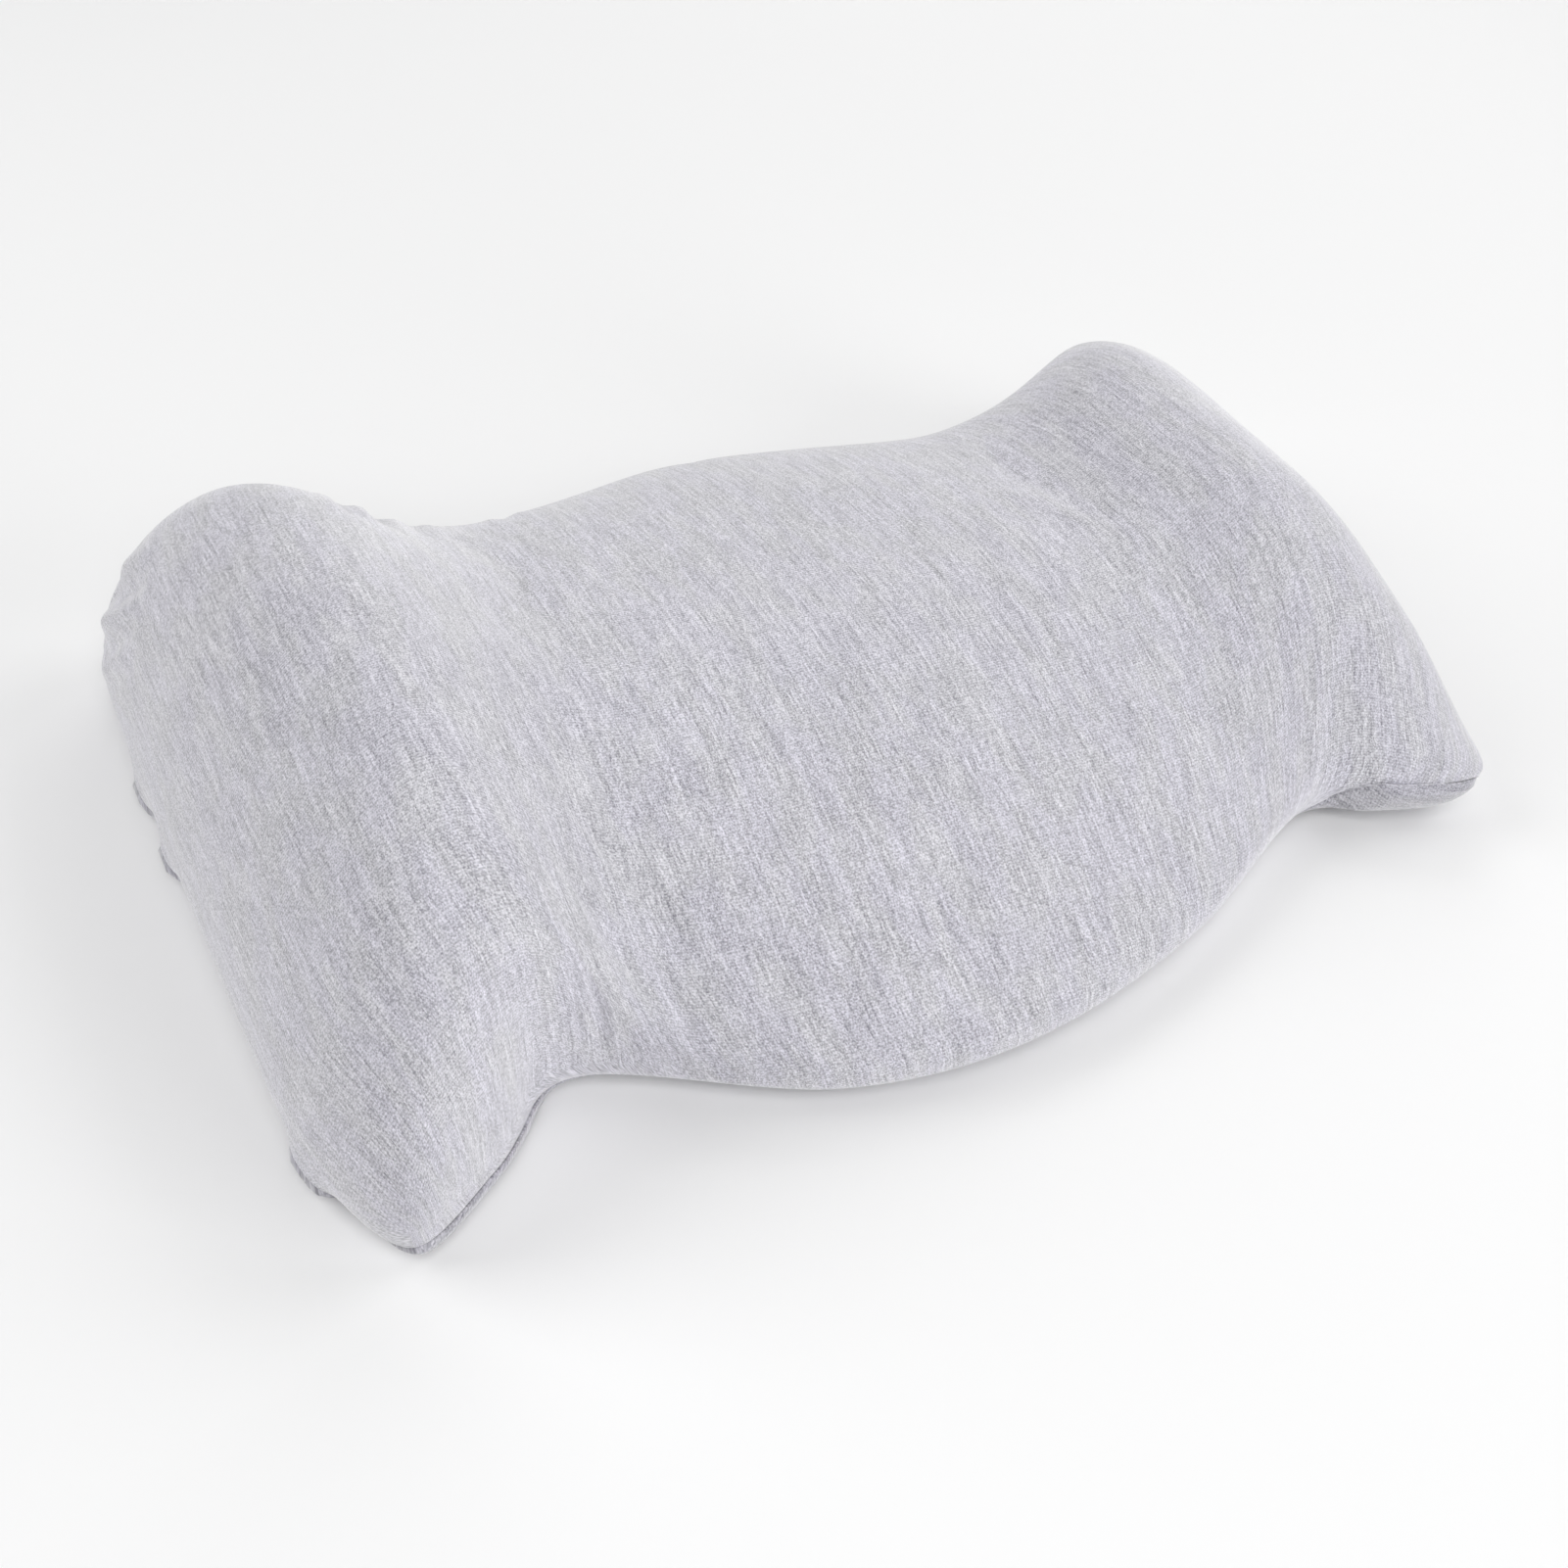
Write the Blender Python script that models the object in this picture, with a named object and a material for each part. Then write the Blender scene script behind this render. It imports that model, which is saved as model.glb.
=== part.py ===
# Lumbar pillow: a filled body under one jersey panel, with a raised wing at each end and a waist
# beside each wing, and the under panel that is sewn to it all round.
# Metres, +Z up. +X runs along the pillow, -Y is its front, and it lies on z = 0.

import math

import bmesh
import bpy
from mathutils import Vector

# ---- driving sizes -----------------------------------------------------------------------------
END_X = 0.220              # each end, from the middle
HALF_DEEP = 0.140          # front and back, from the middle
SEAM_HEIGHT = 0.006        # the seam between the two panels, above the surface the pillow lies on
SEAM_TUCK = 0.006          # the upper panel curls in this far from its fullest line down to the seam
CURL_DOWN, CURL_IN = 0.55, 0.20   # half way round its curl the panel is this share down, and this share in
DISH_ROUND = 0.012         # the under panel runs in this far from the seam to its flat middle
CLOTH = 0.002              # thickness of the under panel
GAP = 0.0003               # between the two pieces

# How this pillow lies: it is soft, so its two ends are not quite alike.
BULGE_LEAN = 0.005         # the front bulge is this much fuller on its left half
RIGHT_TIP_BACK = 0.035     # the front tip of the right wing lies this much further back
RIGHT_TIP_FLAT = 0.20      # and that part of the wing is lower by this share
TURNED_UP = 0.012          # there the under panel turns up, so the seam runs this much higher
TURN_UP_SHARE = 0.40       # over this share of the half length round the tip
TURN_UP_ACROSS = 0.6       # and it fades this much slower towards the back than towards the middle
FULLEST_TURNED = 0.7       # the panel's fullest line rises with the seam by this share

CELLS_ALONG = 48           # mesh cells from end to end
CELLS_ACROSS = 28          # mesh cells from front to back
CURVE_STEPS = 12           # points between two rows of the outline

# Half of the outline seen from above, from the middle of the front round one end to the middle of the
# back. Both ends are cut alike.
OUTLINE = (                # x and y
    (0.000, -0.140),       # front bulge
    (0.070, -0.130),
    (0.140, -0.100),       # front waist, 40 mm in from the bulge
    (0.170, -0.120),
    (0.200, -0.135),       # front tip of the wing
    (0.215, -0.110),
    (0.220, -0.065),       # the straight end
    (0.220, 0.085),
    (0.215, 0.125),
    (0.195, 0.140),        # back tip of the wing
    (0.165, 0.130),
    (0.125, 0.115),        # back waist, 25 mm in
    (0.070, 0.125),
    (0.000, 0.140),        # middle of the back
)
FRONT_TIP, BACK_TIP = 4, 9

# Height of the upper panel on sections across the pillow, at seven shares of the way from front to back.
SHARES = (-1.0, -0.66, -0.34, 0.0, 0.34, 0.66, 1.0)
SECTIONS = {               # fullest line, low, shoulder, crown, shoulder, low, fullest line
    "left wing": (0.015, 0.080, 0.095, 0.100, 0.095, 0.080, 0.020),
    "body": (0.015, 0.025, 0.050, 0.070, 0.065, 0.050, 0.020),
    "right wing": (0.015, 0.035, 0.075, 0.090, 0.090, 0.075, 0.020),
}

# Each wing rises from the body to its ridge, and its flank falls from the ridge to the pillow's end.
RIDGE_X = 0.160            # each wing's ridge, from the middle
RISE_FROM_FRONT, RISE_FROM_BACK = 0.100, 0.075         # where its rise starts, at the front and the back
RISE_POWER = 1.3           # above 1, the rise starts more gently
FLANK_POWER = 0.7          # 0.5 is a round section, and more is straighter


# ---- curves ------------------------------------------------------------------------------------
def read_curve(places, values, at):
    """A smooth curve through the values at the places, which never overshoots them."""
    k = max(i for i in range(len(places) - 1) if at >= places[i] or i == 0)
    rise = [(b - a) / (q - p) for a, b, p, q in zip(values, values[1:], places, places[1:])]

    def slope(i):
        if i in (0, len(rise)):
            return rise[min(i, len(rise) - 1)]
        before, after = rise[i - 1], rise[i]
        return 2 * before * after / (before + after) if before * after > 0 else 0.0

    width = places[k + 1] - places[k]
    t = (at - places[k]) / width
    return ((2 * t**3 - 3 * t**2 + 1) * values[k] + (t**3 - 2 * t**2 + t) * width * slope(k)
            + (3 * t**2 - 2 * t**3) * values[k + 1] + (t**3 - t**2) * width * slope(k + 1))


def ease(share):
    """0 up to 0 and 1 from 1 on, with a smooth step between."""
    share = min(max(share, 0.0), 1.0)
    return share * share * (3.0 - 2.0 * share)


def rounded_outline():
    """Half of the outline as a smooth line of close points, mirrored past its two ends."""
    rows = [Vector(row) for row in OUTLINE]
    rows = [Vector((-rows[1].x, rows[1].y))] + rows + [Vector((-rows[-2].x, rows[-2].y))]
    line = []
    for a, b, c, d in zip(rows, rows[1:], rows[2:], rows[3:]):
        for step in range(CURVE_STEPS):
            t = step / CURVE_STEPS
            line.append(0.5 * (2 * b + (c - a) * t + (2 * a - 5 * b + 4 * c - d) * t**2
                               + (3 * b - a - 3 * c + d) * t**3))
    return line + [rows[-2]]


def along_line(line, share):
    """The point at a share, 0 to 1, of a line's length."""
    lengths = [(b - a).length for a, b in zip(line, line[1:])]
    left = share * sum(lengths)
    for a, b, length in zip(line, line[1:], lengths):
        if left <= length:
            return a.lerp(b, left / length)
        left -= length
    return line[-1].copy()


# ---- the upper panel's shape ---------------------------------------------------------------------
half_outline = rounded_outline()
EDGES = {"front": half_outline[:FRONT_TIP * CURVE_STEPS + 1],
         "end": half_outline[FRONT_TIP * CURVE_STEPS:BACK_TIP * CURVE_STEPS + 1],
         "back": half_outline[BACK_TIP * CURVE_STEPS:][::-1]}


def plan_point(along, across):
    """Where a point of the panel lies seen from above, and where the pillow's end is there."""
    a, v = abs(along), 0.5 + 0.5 * math.sin(0.5 * math.pi * across)
    front, back = along_line(EDGES["front"], a), along_line(EDGES["back"], a)
    end = along_line(EDGES["end"], v)
    bow = end - EDGES["front"][-1].lerp(EDGES["back"][-1], v)
    point = front.lerp(back, v) + a * bow
    return Vector((math.copysign(point.x, along), point.y)), end.x


def near_right_tip(along, across):
    """1 at the front tip of the right wing, easing to 0 round it."""
    return ease(1.0 - math.hypot(along - 1.0, TURN_UP_ACROSS * (across + 1.0)) / TURN_UP_SHARE)


def upper_point(along, across):
    """A point of the upper panel, -1 to 1 each way, down to its fullest line."""
    plan, end_x = plan_point(along, across)
    from_middle = abs(plan.x)
    wing_name = "left wing" if along < 0.0 else "right wing"
    body, wing = (read_curve(SHARES, SECTIONS[name], across) for name in ("body", wing_name))
    edge = read_curve((-1.0, 1.0), (SECTIONS["body"][0], SECTIONS["body"][-1]), across)
    rise_x = read_curve((-1.0, 1.0), (RISE_FROM_FRONT, RISE_FROM_BACK), across)
    risen = ease(max((from_middle - rise_x) / (RIDGE_X - rise_x), 0.0) ** RISE_POWER)
    flank = min(max((from_middle - RIDGE_X) / (end_x - RIDGE_X), 0.0), 1.0)
    above_edge = (body + (wing - body) * risen - edge) * (1.0 - flank**2) ** FLANK_POWER

    right = max(plan.x / END_X, 0.0) ** 2
    forward = min(max(plan.y / OUTLINE[0][1], 0.0), 1.0)
    bulge = math.sin(math.pi * min(max(plan.x / OUTLINE[2][0], -1.0), 1.0))
    above_edge *= 1.0 - RIGHT_TIP_FLAT * right * forward**2
    plan.y += BULGE_LEAN * forward**2 * bulge + RIGHT_TIP_BACK * right * forward
    turned_up = FULLEST_TURNED * TURNED_UP * near_right_tip(along, across)
    return Vector((plan.x, plan.y, edge + turned_up + above_edge))


# ---- mesh helpers --------------------------------------------------------------------------------
def inward(ring):
    """For each point of a ring, how it moves per metre as the whole ring is drawn in towards the middle.
    This only scales the ring, so it can't cross itself at the narrow tips of the wings."""
    return [Vector((-p.x / END_X, -p.y / HALF_DEEP, 0.0)) for p in ring]


def ring_edges(bm, ring):
    """The edges between the vertices of a closed ring."""
    return [bm.edges.get((a, b)) for a, b in zip(ring, ring[1:] + ring[:1])]


def extrude_ring(bm, ring, places):
    """Extrudes a closed ring of vertices, moves the new ring to the places and returns it."""
    made = bmesh.ops.extrude_edge_only(bm, edges=ring_edges(bm, ring))["geom"]
    fresh = {item for item in made if isinstance(item, bmesh.types.BMVert)}
    new_ring = [next(e.other_vert(old) for e in old.link_edges if e.other_vert(old) in fresh) for old in ring]
    for vertex, place in zip(new_ring, places):
        vertex.co = place
    return new_ring


def dish_rings(seam, into, inset, lift):
    """Rings of the under panel's round rim, from the seam down to its flat middle, lift above its outside."""
    rings = []
    for angle in (30, 60, 90):
        ease, drop = 1.0 - math.cos(math.radians(angle)), 1.0 - math.sin(math.radians(angle))
        rings.append([Vector((p.x, p.y, 0.0)) + way * (inset + DISH_ROUND * ease)
                      + Vector((0.0, 0.0, lift + (p.z - lift) * drop)) for p, way in zip(seam, into)])
    return rings


def finish(bm, name, color, roughness):
    """Closes a mesh's normals and makes its object and its jersey material."""
    bmesh.ops.recalc_face_normals(bm, faces=bm.faces)
    mesh = bpy.data.meshes.new(name)
    bm.to_mesh(mesh)
    bm.free()
    mesh.shade_smooth()
    mesh.set_sharp_from_angle(angle=math.radians(50))
    material = bpy.data.materials.new(name + "_jersey")
    material.use_nodes = True
    shader = material.node_tree.nodes["Principled BSDF"]
    shader.inputs["Base Color"].default_value = color
    shader.inputs["Roughness"].default_value = roughness
    shader.inputs["Metallic"].default_value = 0.0
    mesh.materials.append(material)
    piece = bpy.data.objects.new(name, mesh)
    bpy.context.scene.collection.objects.link(piece)
    return piece


# ---- the two pieces ------------------------------------------------------------------------------
def boundary_ring(bm):
    """The vertices round the open edge of a sheet, in order, anticlockwise from above."""
    edge = next(e for e in bm.edges if e.is_boundary)
    ring, vertex = [edge.link_loops[0].vert], edge.link_loops[0].link_loop_next.vert
    while vertex is not ring[0]:
        ring.append(vertex)
        edge = next(e for e in vertex.link_edges if e.is_boundary and e is not edge)
        vertex = edge.other_vert(vertex)
    return ring


def pillow_body():
    """The filled body: the upper panel, its curl down to the seam, and its underside inside the dish."""
    bm = bmesh.new()
    bmesh.ops.create_grid(bm, x_segments=CELLS_ALONG, y_segments=CELLS_ACROSS, size=1.0)
    ring = boundary_ring(bm)
    lifts = [TURNED_UP * near_right_tip(v.co.x, v.co.y) for v in ring]
    for vertex in bm.verts:
        vertex.co = upper_point(vertex.co.x, vertex.co.y)

    fullest = [v.co.copy() for v in ring]
    into = inward(fullest)
    seam = [Vector((p.x, p.y, SEAM_HEIGHT + lift)) + way * SEAM_TUCK
            for p, lift, way in zip(fullest, lifts, into)]
    curl = [p.lerp(s, CURL_DOWN) - way * (CURL_DOWN - CURL_IN) * SEAM_TUCK
            for p, s, way in zip(fullest, seam, into)]
    lower = [s + Vector((0.0, 0.0, 0.5 * GAP)) for s in seam]
    step = [s + way * (CLOTH + GAP) for s, way in zip(lower, into)]
    for places in [curl, lower, step] + dish_rings(lower, into, CLOTH + GAP, CLOTH + GAP):
        ring = extrude_ring(bm, ring, places)
    bmesh.ops.triangle_fill(bm, edges=ring_edges(bm, ring), use_beauty=True)
    finish(bm, "pillow_body", (0.53, 0.54, 0.58, 1.0), 0.92)
    return seam, into


def under_panel(seam, into):
    """The sheet sewn under the body: a shallow dish, flat where it rests, its rim meeting the seam."""
    bm = bmesh.new()
    rim = [bm.verts.new(s - Vector((0.0, 0.0, 0.5 * GAP))) for s in seam]
    for a, b in zip(rim, rim[1:] + rim[:1]):
        bm.edges.new((a, b))
    places = [v.co.copy() for v in rim]
    ring = rim
    for outside in dish_rings(places, into, 0.0, 0.0):
        ring = extrude_ring(bm, ring, outside)
    bmesh.ops.triangle_fill(bm, edges=ring_edges(bm, ring), use_beauty=True)
    ring = extrude_ring(bm, rim, [p + way * CLOTH for p, way in zip(places, into)])
    for inside in dish_rings(places, into, CLOTH, CLOTH):
        ring = extrude_ring(bm, ring, inside)
    bmesh.ops.triangle_fill(bm, edges=ring_edges(bm, ring), use_beauty=True)
    finish(bm, "under_panel", (0.49, 0.50, 0.54, 1.0), 0.92)


for old in list(bpy.data.objects):
    bpy.data.objects.remove(old, do_unlink=True)

seam_line, into_seam = pillow_body()
under_panel(seam_line, into_seam)

# the origin sits under the middle of the whole pillow's box
corners = [v.co for piece in bpy.data.objects for v in piece.data.vertices]
middle_x = 0.5 * (min(c.x for c in corners) + max(c.x for c in corners))
middle_y = 0.5 * (min(c.y for c in corners) + max(c.y for c in corners))
for piece in bpy.data.objects:
    for vertex in piece.data.vertices:
        vertex.co -= Vector((middle_x, middle_y, 0.0))
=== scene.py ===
import functools
import math

import bmesh
import bpy
import numpy as np
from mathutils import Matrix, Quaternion, Vector, noise


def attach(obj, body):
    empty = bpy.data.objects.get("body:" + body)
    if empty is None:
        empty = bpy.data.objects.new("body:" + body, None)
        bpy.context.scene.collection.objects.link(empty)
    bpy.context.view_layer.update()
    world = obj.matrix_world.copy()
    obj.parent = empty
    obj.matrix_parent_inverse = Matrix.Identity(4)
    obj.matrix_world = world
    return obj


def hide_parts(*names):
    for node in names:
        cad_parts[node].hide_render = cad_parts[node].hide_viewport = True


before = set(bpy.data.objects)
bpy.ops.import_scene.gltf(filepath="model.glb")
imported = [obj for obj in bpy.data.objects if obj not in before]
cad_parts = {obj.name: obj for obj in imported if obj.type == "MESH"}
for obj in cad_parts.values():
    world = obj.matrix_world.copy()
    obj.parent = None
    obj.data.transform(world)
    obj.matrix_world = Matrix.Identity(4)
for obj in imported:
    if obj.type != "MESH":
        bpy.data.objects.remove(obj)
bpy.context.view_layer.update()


# ---- filled body and upper panel -----------------------------------------------------------------
# The pillow itself: one moulded soft filling under a single cut of heather grey cotton jersey, drawn
# tight over two raised wings, the waist beside each wing and the crowned middle, and sewn low down,
# all round, to the under panel. The wales of the knit run from wing to wing.
END_X = 0.220                              # each end, from the middle
HALF_DEEP = 0.140                          # front and back, from the middle
SEAM_HEIGHT, SEAM_TUCK = 0.006, 0.006      # the seam: its height, and how far it sits in
CURL_STEPS = 5                             # rows of the panel's curl down to the seam
BULGE_LEAN = 0.005                         # the front bulge is fuller on its left half
RIGHT_TIP_BACK, RIGHT_TIP_FLAT = 0.035, 0.20           # its front tip lies further back, and lower
TURNED_UP, TURN_UP_SHARE = 0.012, 0.40     # the under panel turns up round the right wing's front tip
TURN_UP_ACROSS = 0.6                       # and fades this much slower towards the back
FULLEST_TURNED = 0.7                       # the panel's fullest line rises with it by this share
CENTRE = Vector((0.0, -0.0006, 0.0))       # from the middle of the cut to the middle of the pillow
SEAM_EDGE = 0.0005                         # the panel's turned edge stands out just above the seam
RISE_LIFTS = 0.4                           # how much of the seam's rise lifts the underside as well
SEAM_SHOWS = (                             # where the seam isn't tucked in: x, y, reach, its rise, lip below
    (0.180, -0.103, 0.040, 0.0165, 0.0000),        # along the front of the right wing
    (-0.184, -0.128, 0.032, 0.0030, 0.0014),       # beside the left wing's front tip
    (-0.221, -0.100, 0.018, 0.0020, 0.0010),       # three short places on the left end
    (-0.222, 0.030, 0.014, 0.0020, 0.0010),
    (-0.222, 0.062, 0.016, 0.0020, 0.0012),
)
SHOWS_IN_FULL = 1.6                        # above 1, it shows in full over more of the reach's middle
CELLS_ALONG, CELLS_ACROSS = 150, 96        # mesh cells from end to end, and from front to back
CURVE_STEPS = 12                           # points between two rows of the outline
GAP = 0.0003                               # between the two pieces

# Half of the outline seen from above, from the middle of the front round one end to the middle of the
# back. Both ends are cut alike.
OUTLINE = (                # x and y
    (0.000, -0.140),       # front bulge
    (0.070, -0.130),
    (0.140, -0.100),       # front waist, 40 mm in from the bulge
    (0.170, -0.120),
    (0.200, -0.135),       # front tip of the wing
    (0.215, -0.110),
    (0.220, -0.065),       # the straight end
    (0.220, 0.085),
    (0.215, 0.125),
    (0.195, 0.140),        # back tip of the wing
    (0.165, 0.130),
    (0.125, 0.115),        # back waist, 25 mm in
    (0.070, 0.125),
    (0.000, 0.140),        # middle of the back
)
FRONT_TIP, BACK_TIP = 4, 9

# Height of the upper panel on sections across the pillow, at seven shares of the way from front to back.
SHARES = (-1.0, -0.66, -0.34, 0.0, 0.34, 0.66, 1.0)
SECTIONS = {               # fullest line, low, shoulder, crown, shoulder, low, fullest line
    "left wing": (0.015, 0.080, 0.095, 0.100, 0.095, 0.080, 0.020),
    "body": (0.015, 0.025, 0.050, 0.070, 0.065, 0.050, 0.020),
    "right wing": (0.015, 0.035, 0.075, 0.090, 0.090, 0.075, 0.020),
}

# Each wing rises from the body to its ridge, and its flank falls from the ridge to the pillow's end.
RIDGE_X = 0.160            # each wing's ridge, from the middle
RISE_FROM_FRONT, RISE_FROM_BACK = 0.100, 0.075         # where its rise starts, at the front and the back
RISE_POWER = 1.3           # above 1, the rise starts more gently
FLANK_POWER = 0.7          # 0.5 is a round section, and more is straighter


def read_curve(places, values, at):
    """A smooth curve through the values at the places, which never overshoots them."""
    k = max(i for i in range(len(places) - 1) if at >= places[i] or i == 0)
    rise = [(b - a) / (q - p) for a, b, p, q in zip(values, values[1:], places, places[1:])]

    def slope(i):
        if i in (0, len(rise)):
            return rise[min(i, len(rise) - 1)]
        before, after = rise[i - 1], rise[i]
        return 2 * before * after / (before + after) if before * after > 0 else 0.0

    width = places[k + 1] - places[k]
    t = (at - places[k]) / width
    return ((2 * t**3 - 3 * t**2 + 1) * values[k] + (t**3 - 2 * t**2 + t) * width * slope(k)
            + (3 * t**2 - 2 * t**3) * values[k + 1] + (t**3 - t**2) * width * slope(k + 1))


def ease(share):
    """0 up to 0 and 1 from 1 on, with a smooth step between."""
    share = min(max(share, 0.0), 1.0)
    return share * share * (3.0 - 2.0 * share)


def rounded_outline():
    """Half of the outline as a smooth line of close points, mirrored past its two ends."""
    rows = [Vector(row) for row in OUTLINE]
    rows = [Vector((-rows[1].x, rows[1].y))] + rows + [Vector((-rows[-2].x, rows[-2].y))]
    line = []
    for a, b, c, d in zip(rows, rows[1:], rows[2:], rows[3:]):
        for step in range(CURVE_STEPS):
            t = step / CURVE_STEPS
            line.append(0.5 * (2 * b + (c - a) * t + (2 * a - 5 * b + 4 * c - d) * t**2
                               + (3 * b - a - 3 * c + d) * t**3))
    return line + [rows[-2]]


@functools.cache
def along_edge(name, share):
    """The point at a share, 0 to 1, of the length of one edge of half the panel."""
    line = EDGES[name]
    lengths = [(b - a).length for a, b in zip(line, line[1:])]
    left = share * sum(lengths)
    for a, b, length in zip(line, line[1:], lengths):
        if left <= length:
            return a.lerp(b, left / length)
        left -= length
    return line[-1].copy()


half_outline = rounded_outline()
EDGES = {"front": half_outline[:FRONT_TIP * CURVE_STEPS + 1],
         "end": half_outline[FRONT_TIP * CURVE_STEPS:BACK_TIP * CURVE_STEPS + 1],
         "back": half_outline[BACK_TIP * CURVE_STEPS:][::-1]}


def plan_point(along, across):
    """Where a point of the panel lies seen from above, and where the pillow's end is there."""
    a, v = abs(along), 0.5 + 0.5 * math.sin(0.5 * math.pi * across)
    front, back, end = along_edge("front", a), along_edge("back", a), along_edge("end", v)
    bow = end - EDGES["front"][-1].lerp(EDGES["back"][-1], v)
    point = front.lerp(back, v) + a * bow
    return Vector((math.copysign(point.x, along), point.y)), end.x


def near_right_tip(along, across):
    """1 at the front tip of the right wing, easing to 0 round it."""
    return ease(1.0 - math.hypot(along - 1.0, TURN_UP_ACROSS * (across + 1.0)) / TURN_UP_SHARE)


def upper_point(along, across):
    """A point of the upper panel, -1 to 1 each way, down to its fullest line."""
    plan, end_x = plan_point(along, across)
    from_middle = abs(plan.x)
    wing_name = "left wing" if along < 0.0 else "right wing"
    body, wing = (read_curve(SHARES, SECTIONS[name], across) for name in ("body", wing_name))
    edge = read_curve((-1.0, 1.0), (SECTIONS["body"][0], SECTIONS["body"][-1]), across)
    rise_x = read_curve((-1.0, 1.0), (RISE_FROM_FRONT, RISE_FROM_BACK), across)
    risen = ease(max((from_middle - rise_x) / (RIDGE_X - rise_x), 0.0) ** RISE_POWER)
    flank = min(max((from_middle - RIDGE_X) / (end_x - RIDGE_X), 0.0), 1.0)
    above_edge = (body + (wing - body) * risen - edge) * (1.0 - flank**2) ** FLANK_POWER

    right = max(plan.x / END_X, 0.0) ** 2
    forward = min(max(plan.y / OUTLINE[0][1], 0.0), 1.0)
    bulge = math.sin(math.pi * min(max(plan.x / OUTLINE[2][0], -1.0), 1.0))
    above_edge *= 1.0 - RIGHT_TIP_FLAT * right * forward**2
    plan.y += BULGE_LEAN * forward**2 * bulge + RIGHT_TIP_BACK * right * forward
    turned_up = FULLEST_TURNED * TURNED_UP * near_right_tip(along, across)
    return Vector((plan.x, plan.y, edge + turned_up + above_edge)) - CENTRE


def seam_shows(point):
    """How much the seam shows at a point of the fullest line, 0 to 1, how far it rises, and its lip."""
    shows = rise = lip = 0.0
    for x, y, reach, rises, lips in SEAM_SHOWS:
        near = ease(SHOWS_IN_FULL * (1.0 - (point.xy - Vector((x, y))).length / reach))
        shows, rise, lip = max(shows, near), max(rise, near * rises), max(lip, near * lips)
    return shows, rise, lip


def boundary_ring(bm):
    """The vertices round the open edge of a sheet, in order, anticlockwise from above."""
    edge = next(e for e in bm.edges if e.is_boundary)
    ring, vertex = [edge.link_loops[0].vert], edge.link_loops[0].link_loop_next.vert
    while vertex is not ring[0]:
        ring.append(vertex)
        edge = next(e for e in vertex.link_edges if e.is_boundary and e is not edge)
        vertex = edge.other_vert(vertex)
    return ring


def inward(ring):
    """For each point of a ring, how it moves per metre as the whole ring is drawn in towards the middle.
    This only scales the ring, so it can't cross itself at the narrow tips of the wings."""
    return [Vector((-p.x / END_X, -p.y / HALF_DEEP, 0.0)) for p in ring]


def ring_edges(bm, ring):
    """The edges between the vertices of a closed ring."""
    return [bm.edges.get((a, b)) for a, b in zip(ring, ring[1:] + ring[:1])]


def extrude_ring(bm, ring, places):
    """Extrudes a closed ring of vertices, moves the new ring to the places and returns it."""
    made = bmesh.ops.extrude_edge_only(bm, edges=ring_edges(bm, ring))["geom"]
    fresh = {item for item in made if isinstance(item, bmesh.types.BMVert)}
    new_ring = []
    for vertex in ring:
        across = [e.other_vert(vertex) for e in vertex.link_edges]
        new_ring.append(next(other for other in across if other in fresh))
    for vertex, place in zip(new_ring, places):
        vertex.co = place
    return new_ring


def fill_ring(bm, ring):
    """Fills a ring with triangles and makes the faces of the whole mesh agree."""
    bmesh.ops.triangle_fill(bm, edges=ring_edges(bm, ring), use_beauty=True)
    bmesh.ops.recalc_face_normals(bm, faces=bm.faces)


def finish(bm, name):
    """Makes an object of a finished mesh and links it to the scene."""
    mesh = bpy.data.meshes.new(name)
    bm.to_mesh(mesh)
    bm.free()
    piece = bpy.data.objects.new(name, mesh)
    bpy.context.scene.collection.objects.link(piece)
    return piece


body = bmesh.new()
bmesh.ops.create_grid(body, x_segments=CELLS_ALONG, y_segments=CELLS_ACROSS, size=1.0)
cloth_place = body.verts.layers.float_vector.new("cloth")          # metres of cloth from the panel's middle
columns = {}
for vertex in body.verts:
    columns.setdefault(round(vertex.co.x, 4), []).append(vertex)
ring = boundary_ring(body)
for vertex in body.verts:
    along = 0.5 * (vertex.co.x + math.sin(0.5 * math.pi * vertex.co.x))       # closer columns down the flanks
    vertex.co = upper_point(along, vertex.co.y)


def measure_cloth(line, axis):
    """Lays the cloth coordinate of one axis along a line of vertices, from 0 at the line's middle."""
    middle = len(line) // 2
    for run in (line[middle:], line[middle::-1]):
        for before, after in zip(run, run[1:]):
            step = after.co - before.co
            way = math.copysign(math.hypot(step[axis], step.z), step[axis])
            after[cloth_place][axis] = before[cloth_place][axis] + way


for column in columns.values():
    column.sort(key=lambda v: v.co.y)
    measure_cloth(column, 1)
middle_row = [columns[x][len(columns[x]) // 2] for x in sorted(columns)]
measure_cloth(middle_row, 0)
for column in columns.values():
    for vertex in column:
        vertex[cloth_place].x = column[len(column) // 2][cloth_place].x

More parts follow.
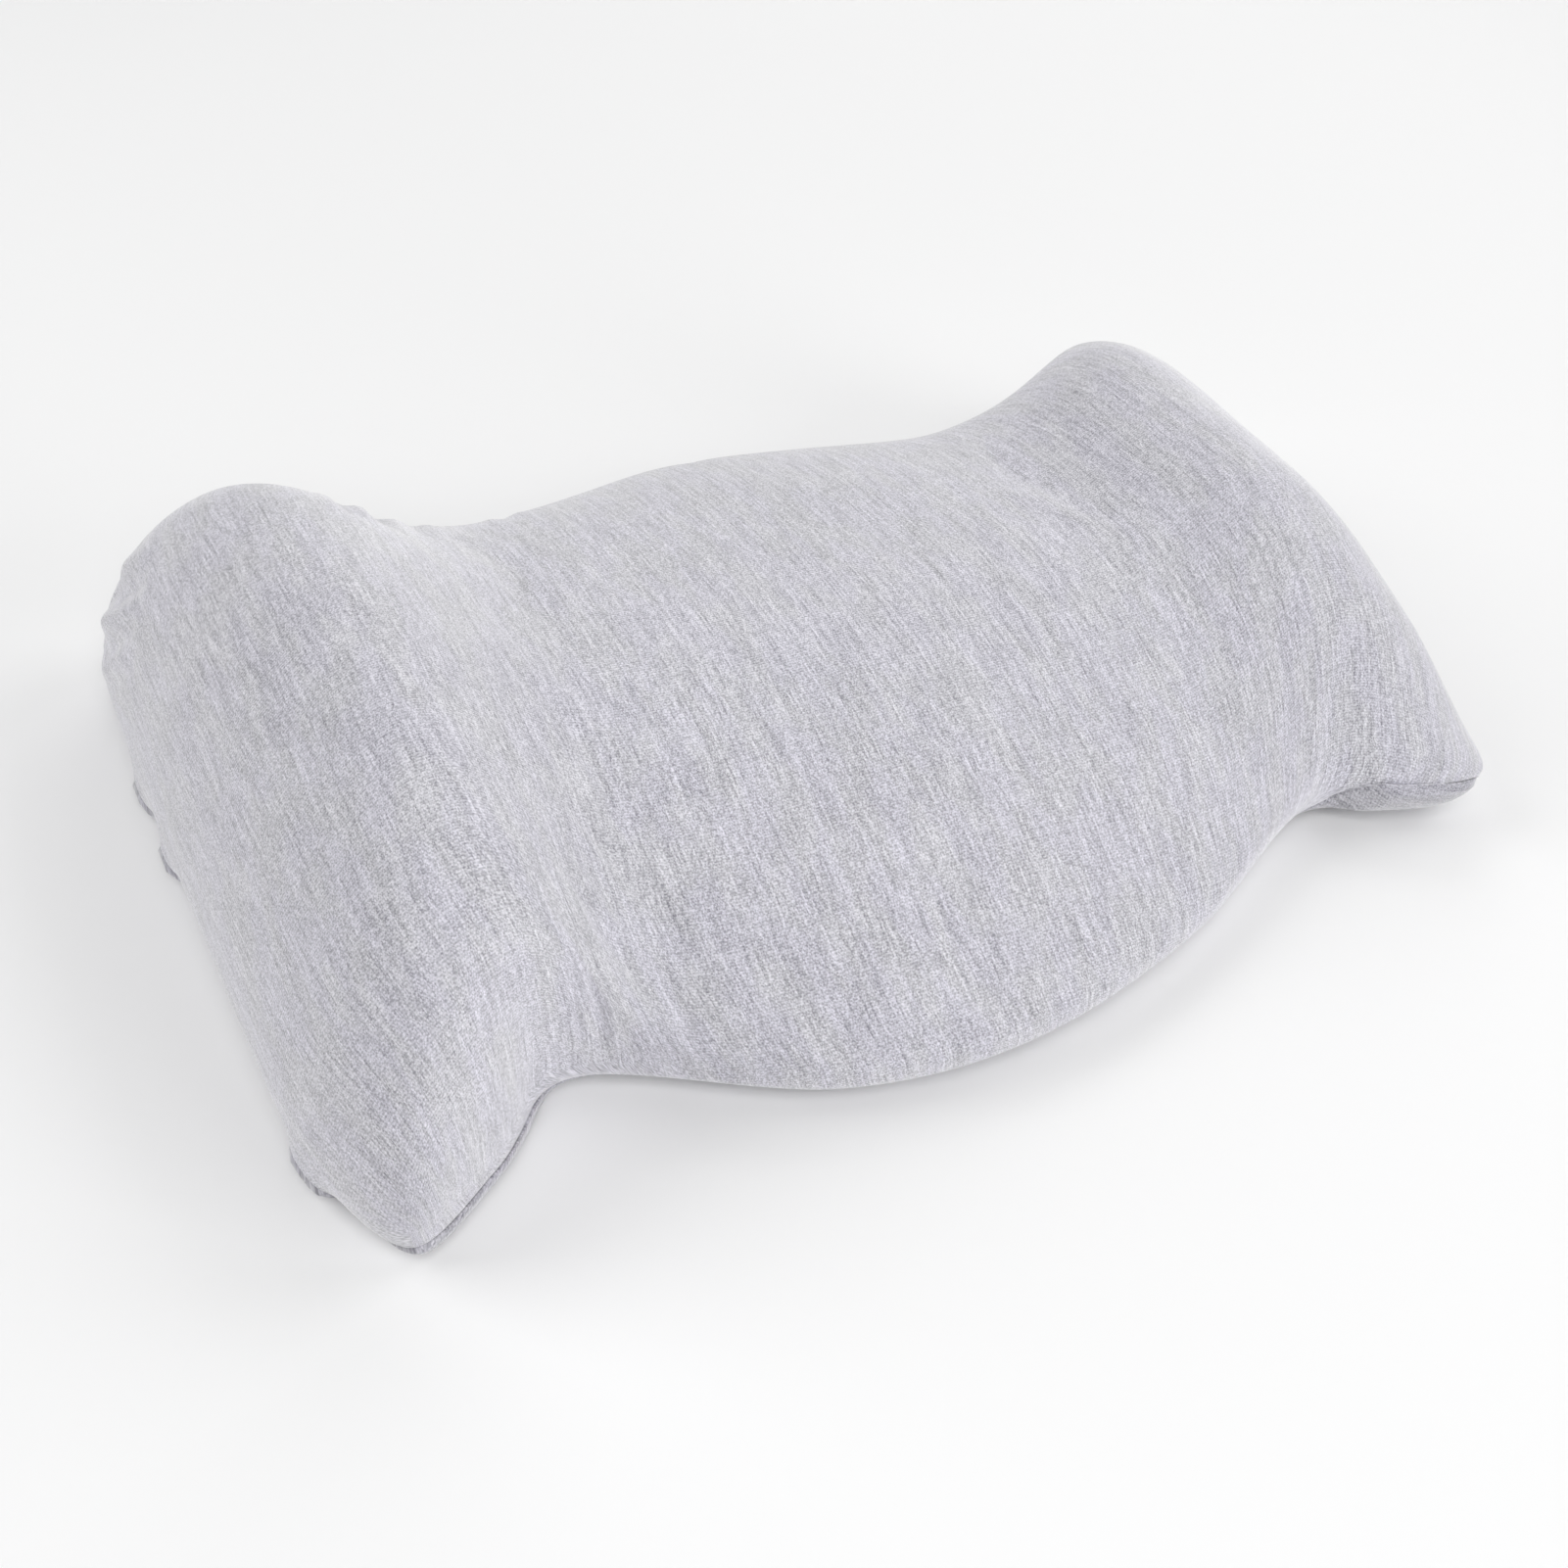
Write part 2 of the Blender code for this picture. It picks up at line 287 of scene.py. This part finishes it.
FLAT_INSET, BOTTOM_INSET = 0.0015, 0.008   # the body runs in this far at the seam, then down its underside
BOTTOM_HEIGHT = 0.0025                     # and its underside lies this high, inside the under panel
fullest = [v.co.copy() for v in ring]
into = inward(fullest)
shown = [seam_shows(p) for p in fullest]
tucks = [SEAM_TUCK * (1.0 - shows) for shows, rise, lip in shown]
seam = [Vector((p.x, p.y, SEAM_HEIGHT + rise)) + way * tuck
        for p, way, tuck, (shows, rise, lip) in zip(fullest, into, tucks, shown)]
for step in range(1, CURL_STEPS + 1):
    turn = 0.5 * math.pi * step / CURL_STEPS
    edge_out = SEAM_EDGE if step == CURL_STEPS - 1 else 0.0
    places = [Vector((p.x, p.y, p.z + (s.z - p.z) * math.sin(turn)))
              + way * (tuck * (1.0 - math.cos(turn)) - edge_out)
              for p, s, way, tuck in zip(fullest, seam, into, tucks)]
    new_ring = extrude_ring(body, ring, places)
    for old, new, way in zip(ring, new_ring, into):
        new[cloth_place] = old[cloth_place] - way * (new.co - old.co).length
    ring = new_ring
under_edge = [v.co.copy() for v in ring]
flat = [p + way * FLAT_INSET for p, way in zip(under_edge, into)]
ring = extrude_ring(body, ring, flat)
bottom = [Vector((p.x, p.y, BOTTOM_HEIGHT + RISE_LIFTS * rise)) + way * BOTTOM_INSET
          for p, way, (shows, rise, lip) in zip(flat, into, shown)]
ring = extrude_ring(body, ring, bottom)
fill_ring(body, ring)

uv = body.loops.layers.uv.new("cloth")
for face in body.faces:
    for loop in face.loops:
        loop[uv].uv = loop.vert[cloth_place].xy
filled_body = finish(body, "filled_body")
body_mesh = filled_body.data
body_mesh.shade_smooth()

# The cover is cut a little smaller than its filling, which presses it outwards and stretches it taut.
# The filling is moulded, so it also holds the cover close to its own shape.
CUT_SMALLER = 0.0004                       # the cover starts this far inside its shape
MOVES_AT_MOST = 0.0020                     # and settles no further than this from it
PRESSURE, SETTLE_FRAMES = 8.0, 20
SEWN_BELOW = 0.012                         # below this height the seam holds the cover fast
HELD_BY_FILLING = 0.12                     # how firmly the filling holds the rest, 0 to 1
held = filled_body.vertex_groups.new(name="held")
first = [v.co.copy() for v in body_mesh.vertices]
normals = [v.normal.copy() for v in body_mesh.vertices]
for vertex, normal in zip(body_mesh.vertices, normals):
    is_sewn = vertex.co.z < SEWN_BELOW
    held.add([vertex.index], 1.0 if is_sewn else HELD_BY_FILLING, "REPLACE")
    if not is_sewn:
        vertex.co -= normal * CUT_SMALLER
filling = filled_body.modifiers.new("filling", "CLOTH")
filling.settings.vertex_group_mass = "held"
filling.settings.use_pressure = True
filling.settings.uniform_pressure_force = PRESSURE
filling.settings.effector_weights.gravity = 0.0
for settle_frame in range(1, SETTLE_FRAMES + 1):
    bpy.context.scene.frame_set(settle_frame)
settled = filled_body.evaluated_get(bpy.context.evaluated_depsgraph_get())
places = [v.co.copy() for v in settled.data.vertices]
filled_body.modifiers.remove(filling)
for vertex, start, place in zip(body_mesh.vertices, first, places):
    move = place - start
    vertex.co = start + move * min(1.0, MOVES_AT_MOST / max(move.length, 1e-9))

rounding = filled_body.modifiers.new("rounding", "SUBSURF")
rounding.levels = rounding.render_levels = 1
fine = bpy.data.meshes.new_from_object(filled_body.evaluated_get(bpy.context.evaluated_depsgraph_get()))
filled_body.modifiers.clear()
filled_body.data = fine

# Soft creases in the jersey where it is pulled round the left waist, puckers where it goes over the back
# edge, and the tucks at the left wing's back corner. A crease with a depth below 0 is a ridge.
CREASES = (                # points along it, width, depth
    (((-0.123, -0.045, 0.069), (-0.110, -0.067, 0.053), (-0.100, -0.090, 0.038)), 0.0026, 0.00070),
    (((-0.116, -0.043, 0.066), (-0.104, -0.066, 0.052), (-0.094, -0.086, 0.042)), 0.0030, -0.00040),
    (((-0.099, -0.090, 0.038), (-0.096, -0.100, 0.032), (-0.095, -0.110, 0.026)), 0.0024, 0.00040),
    (((-0.133, -0.068, 0.070), (-0.124, -0.082, 0.053), (-0.114, -0.099, 0.035)), 0.0024, 0.00060),
    (((-0.126, -0.070, 0.062), (-0.118, -0.084, 0.046), (-0.110, -0.099, 0.033)), 0.0026, -0.00035),
    (((-0.120, -0.075, 0.054), (-0.115, -0.087, 0.042)), 0.0020, 0.00040),
    (((-0.108, -0.099, 0.032), (-0.107, -0.111, 0.024)), 0.0020, 0.00040),
    (((-0.138, -0.083, 0.069), (-0.133, -0.095, 0.042)), 0.0020, 0.00035),
    (((-0.132, -0.095, 0.048), (-0.132, -0.096, 0.034), (-0.132, -0.097, 0.020)), 0.0022, 0.00180),
    (((-0.138, -0.094, 0.048), (-0.138, -0.096, 0.024)), 0.0020, 0.00060),
    (((-0.140, 0.076, 0.090), (-0.140, 0.089, 0.085), (-0.138, 0.104, 0.074)), 0.0030, 0.00140),
    (((-0.129, 0.078, 0.080), (-0.129, 0.092, 0.074), (-0.126, 0.106, 0.062)), 0.0030, 0.00140),
    (((-0.117, 0.082, 0.071), (-0.115, 0.095, 0.064), (-0.114, 0.110, 0.053)), 0.0030, 0.00110),
    (((-0.079, 0.096, 0.059), (-0.078, 0.108, 0.052), (-0.077, 0.120, 0.043)), 0.0028, 0.00080),
    (((-0.209, 0.128, 0.038), (-0.209, 0.113, 0.046), (-0.203, 0.099, 0.061)), 0.0048, 0.00280),
    (((-0.217, 0.124, 0.020), (-0.216, 0.108, 0.029), (-0.209, 0.088, 0.051)), 0.0042, 0.00240),
    (((-0.219, 0.110, 0.012), (-0.217, 0.091, 0.030), (-0.212, 0.076, 0.046)), 0.0036, 0.00120),
)
SIDE_RIDGE = 0.4                           # the soft ridge beside a crease, as a share of its depth
SIDE_RIDGE_AT, SIDE_RIDGE_WIDE = 2.0, 0.8  # its place and its own width, in widths of the crease
UNEVEN_BY, UNEVEN_OVER = 0.0005, 0.030     # the filling's own unevenness, and over what length
points, normals = np.empty(3 * len(fine.vertices)), np.empty(3 * len(fine.vertices))
fine.vertices.foreach_get("co", points)
fine.vertices.foreach_get("normal", normals)
points, normals = points.reshape(-1, 3), normals.reshape(-1, 3)
outwards = np.array([UNEVEN_BY * noise.noise(Vector(point) / UNEVEN_OVER) for point in points])
for path, width, depth in CREASES:
    # each point of the crease is taken to the nearest place on the cloth
    on_cloth = [points[np.argmin(np.linalg.norm(points - np.array(place), axis=1))] for place in path]
    nearest, share = np.full(len(points), np.inf), np.zeros(len(points))
    for number, (start, stop) in enumerate(zip(on_cloth, on_cloth[1:])):
        run = stop - start
        along = np.clip((points - start) @ run / (run @ run), 0.0, 1.0)
        away = np.linalg.norm(points - start - along[:, None] * run, axis=1)
        share = np.where(away < nearest, (number + along) / (len(path) - 1), share)
        nearest = np.minimum(nearest, away)
    across = nearest / width
    side_ridge = SIDE_RIDGE * np.exp(-((across - SIDE_RIDGE_AT) / SIDE_RIDGE_WIDE)**2)
    outwards -= depth * np.sqrt(np.sin(np.pi * share)) * (np.exp(-across**2) - side_ridge)
outwards *= np.clip((points[:, 2] - SEWN_BELOW) / SEWN_BELOW, 0.0, 1.0)       # the seam stays where it is
fine.vertices.foreach_set("co", (points + normals * outwards[:, None]).ravel())
fine.update()


def linear(hex_color):
    """An sRGB hex colour as linear red, green, blue and alpha."""
    parts = [int(hex_color[i:i + 2], 16) / 255 for i in (1, 3, 5)]
    return [c / 12.92 if c <= 0.04045 else ((c + 0.055) / 1.055) ** 2.4 for c in parts] + [1.0]


def add_node(tree, kind, inputs=(), **settings):
    """Adds a shader node with its settings. An input takes a value, or a node or socket to link from."""
    node = tree.nodes.new("ShaderNode" + kind)
    for name, value in settings.items():
        setattr(node, name, value)
    for socket, value in dict(inputs).items():
        if isinstance(value, bpy.types.Node):
            value = value.outputs[0]
        if isinstance(value, bpy.types.NodeSocket):
            tree.links.new(value, node.inputs[socket])
        else:
            node.inputs[socket].default_value = value
    return node


WALE = 0.00095               # from one wale of the knit to the next
COURSE = 0.00070             # from one course, one turn of yarn, to the next
SLUB = 0.020                 # length of a lighter or darker stretch of yarn
BAND = (0.003, 0.022)        # a streak over several courses: its width and its length
PATCH = (0.012, 0.030)       # a patch of one tint, likewise
WANDERS, WANDER_BY = 60.0, 2.0         # waves of the courses in a metre, and how many courses they shift by
FIBRES = 2600.0              # specks of fibre in a metre, drawn coarser than real fibres so that they show
NEXT_YARN = 7.31             # how far apart two neighbouring courses read the yarn's shade
RIB_MEAN = 0.64              # mean height of a rib's rounded section, 0 to 1
BUMP, BUMP_HEIGHT = 0.35, 0.0002       # how strongly the ribs and fibres stand up, and how far


def heather_jersey(name, dark, pale):
    """Single jersey knitted from heather yarn, which mixes pale, mid and dark cotton fibres: streaks run
    along each course, fine wales cross them, and the fuzzy surface is matt with a soft pale edge."""
    material = bpy.data.materials.new(name)
    material.use_nodes = True
    tree = material.node_tree
    shader = tree.nodes["Principled BSDF"]
    place = add_node(tree, "UVMap", uv_map="cloth")
    cut = add_node(tree, "SeparateXYZ", {0: place})
    u, v = cut.outputs["X"], cut.outputs["Y"]

    # which course and which wale a point is on, both wandering a little
    wander = add_node(tree, "TexNoise", {"Vector": place, "Scale": WANDERS, "Detail": 2.0})
    course_at = add_node(tree, "Math", {0: u, 1: 1.0 / COURSE}, operation="MULTIPLY")
    course_at = add_node(tree, "Math", {0: wander, 1: WANDER_BY, 2: course_at}, operation="MULTIPLY_ADD")
    course = add_node(tree, "Math", {0: course_at}, operation="FLOOR")
    wale_at = add_node(tree, "Math", {0: v, 1: 1.0 / WALE}, operation="MULTIPLY")
    wale = add_node(tree, "Math", {0: wale_at}, operation="FLOOR")
    stitch_place = add_node(tree, "CombineXYZ", {0: course, 1: wale})
    stitch = add_node(tree, "TexWhiteNoise", {"Vector": stitch_place}, noise_dimensions="2D")

    # each stitch's two legs, and the two ends of each leg, show different fibres of the yarn
    half_course = add_node(tree, "Math", {0: course_at, 1: 2.0}, operation="MULTIPLY")
    half_course = add_node(tree, "Math", {0: half_course}, operation="FLOOR")
    half_wale = add_node(tree, "Math", {0: wale_at, 1: 2.0}, operation="MULTIPLY")
    half_wale = add_node(tree, "Math", {0: half_wale}, operation="FLOOR")
    leg_place = add_node(tree, "CombineXYZ", {0: half_course, 1: half_wale})
    leg = add_node(tree, "TexWhiteNoise", {"Vector": leg_place}, noise_dimensions="2D")

    # the yarn's own change of shade along its course, over lengths of about a centimetre
    course = add_node(tree, "Math", {0: course, 1: NEXT_YARN}, operation="MULTIPLY")
    along = add_node(tree, "Math", {0: v, 1: 1.0 / SLUB}, operation="MULTIPLY")
    yarn_place = add_node(tree, "CombineXYZ", {0: course, 1: along})
    yarn = add_node(tree, "TexNoise", {"Vector": yarn_place, "Scale": 1.0, "Detail": 3.0, "Roughness": 0.6},
                    noise_dimensions="2D")
    stretched = add_node(tree, "Mapping", {"Vector": place, "Scale": (1.0 / BAND[0], 1.0 / BAND[1], 1.0)})
    band = add_node(tree, "TexNoise", {"Vector": stretched, "Scale": 1.0, "Detail": 3.0},
                    noise_dimensions="2D")
    fibre = add_node(tree, "TexNoise", {"Vector": place, "Scale": FIBRES, "Detail": 1.0})
    rib = add_node(tree, "Math", {0: wale_at, 1: math.pi}, operation="MULTIPLY")
    rib = add_node(tree, "Math", {0: rib}, operation="SINE")
    rib = add_node(tree, "Math", {0: rib}, operation="ABSOLUTE")

    # each pattern makes the shade darker or paler round the middle by its share, and keeps its mean
    tone = 0.5
    for pattern, share, middle in ((stitch, 0.08, 0.5), (leg, 0.60, 0.5), (yarn, 0.82, 0.5),
                                   (band, 0.12, 0.5), (fibre, 0.28, 0.5), (rib, 0.16, RIB_MEAN)):
        tone = add_node(tree, "Math", {0: pattern, 1: share, 2: tone}, operation="MULTIPLY_ADD")
        tone = add_node(tree, "Math", {0: tone, 1: share * middle}, operation="SUBTRACT")
    shade = add_node(tree, "ValToRGB", {"Fac": tone})
    shade.color_ramp.elements[0].position, shade.color_ramp.elements[0].color = 0.0, linear(dark)
    shade.color_ramp.elements[1].position, shade.color_ramp.elements[1].color = 1.0, linear(pale)

    # the fibres' own tints, lilac and a little warmer, in long patches
    stretched = add_node(tree, "Mapping", {"Vector": place, "Scale": (1.0 / PATCH[0], 1.0 / PATCH[1], 1.0)})
    patch = add_node(tree, "TexNoise", {"Vector": stretched, "Scale": 1.0, "Detail": 3.0},
                     noise_dimensions="2D")
    tint = add_node(tree, "ValToRGB", {"Fac": patch})
    tint.color_ramp.elements[0].position, tint.color_ramp.elements[0].color = 0.40, (1.0, 1.0, 0.98, 1.0)
    tint.color_ramp.elements[1].position, tint.color_ramp.elements[1].color = 0.58, (1.0, 0.993, 1.01, 1.0)
    # inputs 6 and 7 and output 2 of a Mix node are its colours
    colour = add_node(tree, "Mix", {"Factor": 1.0, 6: shade, 7: tint},
                      data_type="RGBA", blend_type="MULTIPLY")
    tree.links.new(colour.outputs[2], shader.inputs["Base Color"])

    height = add_node(tree, "Math", {0: fibre, 1: 0.5, 2: rib}, operation="MULTIPLY_ADD")
    bump = add_node(tree, "Bump", {"Height": height, "Strength": BUMP, "Distance": BUMP_HEIGHT})
    tree.links.new(bump.outputs["Normal"], shader.inputs["Normal"])
    shader.inputs["Roughness"].default_value = 0.9
    shader.inputs["Specular IOR Level"].default_value = 0.25
    shader.inputs["Sheen Weight"].default_value = 0.8
    shader.inputs["Sheen Roughness"].default_value = 0.5
    return material


filled_body.data.materials.append(heather_jersey("heather_jersey_upper", "#82818a", "#edecf4"))
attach(filled_body, "root")
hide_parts("pillow_body")


# ---- under panel -----------------------------------------------------------------------------------
# The second cut of the same jersey, laid with its wales from front to back. It is sewn to the upper
# panel all round, lies flat on the surface that carries the pillow, and turns up to meet the seam,
# most of all round the front tip of the right wing. Its colours are darker than the upper panel's:
# painted shade, standing in for the shadow where the panel turns up at the right wing's front tip.
JERSEY_THICK = 0.0008
DISH_ROUND = 0.012                         # it runs in this far from the seam to its flat middle
SEAM_GROOVE = 0.0007                       # its edge lies this far inside the upper panel's
RIM_ANGLES = (15, 30, 45, 60, 75, 90)      # degrees round the rim, from the seam to the flat middle

under = bmesh.new()
rim = [p - Vector((0.0, 0.0, GAP)) for p in under_edge]
ring = [under.verts.new(p + way * SEAM_GROOVE) for p, way in zip(rim, into)]
for a, b in zip(ring, ring[1:] + ring[:1]):
    under.edges.new((a, b))
for angle in RIM_ANGLES:
    in_by, drop = DISH_ROUND * (1.0 - math.cos(math.radians(angle))), 1.0 - math.sin(math.radians(angle))
    out_by = math.sin(math.radians(2 * angle))
    places = []
    for p, way, (shows, rise, lip) in zip(rim, into, shown):
        bottom_z = JERSEY_THICK + RISE_LIFTS * rise
        places.append(Vector((p.x, p.y, bottom_z + (p.z - bottom_z) * drop)) + way * (in_by - lip * out_by))
    ring = extrude_ring(under, ring, places)
fill_ring(under, ring)
under.normal_update()
if sum(face.normal.z * face.calc_area() for face in under.faces) > 0.0:
    bmesh.ops.reverse_faces(under, faces=under.faces)
uv = under.loops.layers.uv.new("cloth")
for face in under.faces:
    for loop in face.loops:
        place = loop.vert.co
        loop[uv].uv = (place.y - place.z, place.x)
under_cloth = finish(under, "under_panel_cloth")
under_cloth.data.shade_smooth()
# darker colours than the upper panel's jersey: painted shade for the shadowed turned-up wall
under_cloth.data.materials.append(heather_jersey("heather_jersey_under_painted_shade", "#6d6c75", "#d4d3db"))
thickness = under_cloth.modifiers.new("cloth_thickness", "SOLIDIFY")
thickness.thickness, thickness.offset = JERSEY_THICK, 1.0
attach(under_cloth, "root")
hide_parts("under_panel")


# ---- floor, light and camera -------------------------------------------------------------------------
# The pillow lies on a wide sheet of matt white paper. Five square soft boxes stand round it, and the
# camera looks down on it from the front, to the left.
FLOOR_HALF, FLOOR_DROP = 6.0, 0.0005       # half its side, and how far it lies below the pillow
floor_bm = bmesh.new()
bmesh.ops.create_grid(floor_bm, x_segments=1, y_segments=1, size=FLOOR_HALF)
bmesh.ops.translate(floor_bm, verts=floor_bm.verts, vec=(0.0, 0.0, -FLOOR_DROP))
floor = finish(floor_bm, "floor")
paper = bpy.data.materials.new("white_paper")
paper.use_nodes = True
paper.node_tree.nodes["Principled BSDF"].inputs["Base Color"].default_value = linear("#f6f6f6")
paper.node_tree.nodes["Principled BSDF"].inputs["Roughness"].default_value = 0.9
floor.data.materials.append(paper)

world = bpy.data.worlds.new("studio")
world.use_nodes = True
world.node_tree.nodes["Background"].inputs["Color"].default_value = (1.0, 1.0, 1.0, 1.0)
world.node_tree.nodes["Background"].inputs["Strength"].default_value = 0.0
bpy.context.scene.world = world
bpy.context.scene.view_settings.view_transform = "Standard"

SOFT_BOX, AWAY = 1.2, 1.8                  # size of each square soft box, and how far it stands
SOFT_BOXES = (                             # turn to the right of the front and height, degrees; watts
    ("key", -30, 50, 15.0),
    ("left", -120, 35, 15.0),
    ("back right", 150, 35, 10.0),
    ("right", 90, 40, 10.0),
    ("front low", 30, 20, 15.0),
)


def soft_light(name, turn, height, power):
    """A square soft box that stands round the pillow and faces it."""
    light = bpy.data.lights.new(name, "AREA")
    light.size, light.energy = SOFT_BOX, power
    lamp = bpy.data.objects.new(name, light)
    turn, height = math.radians(turn), math.radians(height)
    away = Vector((math.sin(turn) * math.cos(height), -math.cos(turn) * math.cos(height), math.sin(height)))
    lamp.location = away * AWAY
    lamp.rotation_euler = (-away).to_track_quat("-Z", "Y").to_euler()
    bpy.context.scene.collection.objects.link(lamp)


for name, turn, height, power in SOFT_BOXES:
    soft_light(name, turn, height, power)

CAMERA_AIM, CAMERA_DISTANCE = Vector((-0.023, -0.008, 0.006)), 0.65
turn, rise, roll = math.radians(33.5), math.radians(42.0), math.radians(8.5)
camera_data = bpy.data.cameras.new("camera")
camera_data.sensor_width, camera_data.lens = 36.0, 44.0
camera = bpy.data.objects.new("camera", camera_data)
bpy.context.scene.collection.objects.link(camera)
back = Vector((-math.sin(turn) * math.cos(rise), -math.cos(turn) * math.cos(rise), math.sin(rise)))
camera.location = CAMERA_AIM + back * CAMERA_DISTANCE
camera.rotation_mode = "QUATERNION"
camera.rotation_quaternion = (-back).to_track_quat("-Z", "Y") @ Quaternion((0.0, 0.0, 1.0), roll)
bpy.context.scene.camera = camera
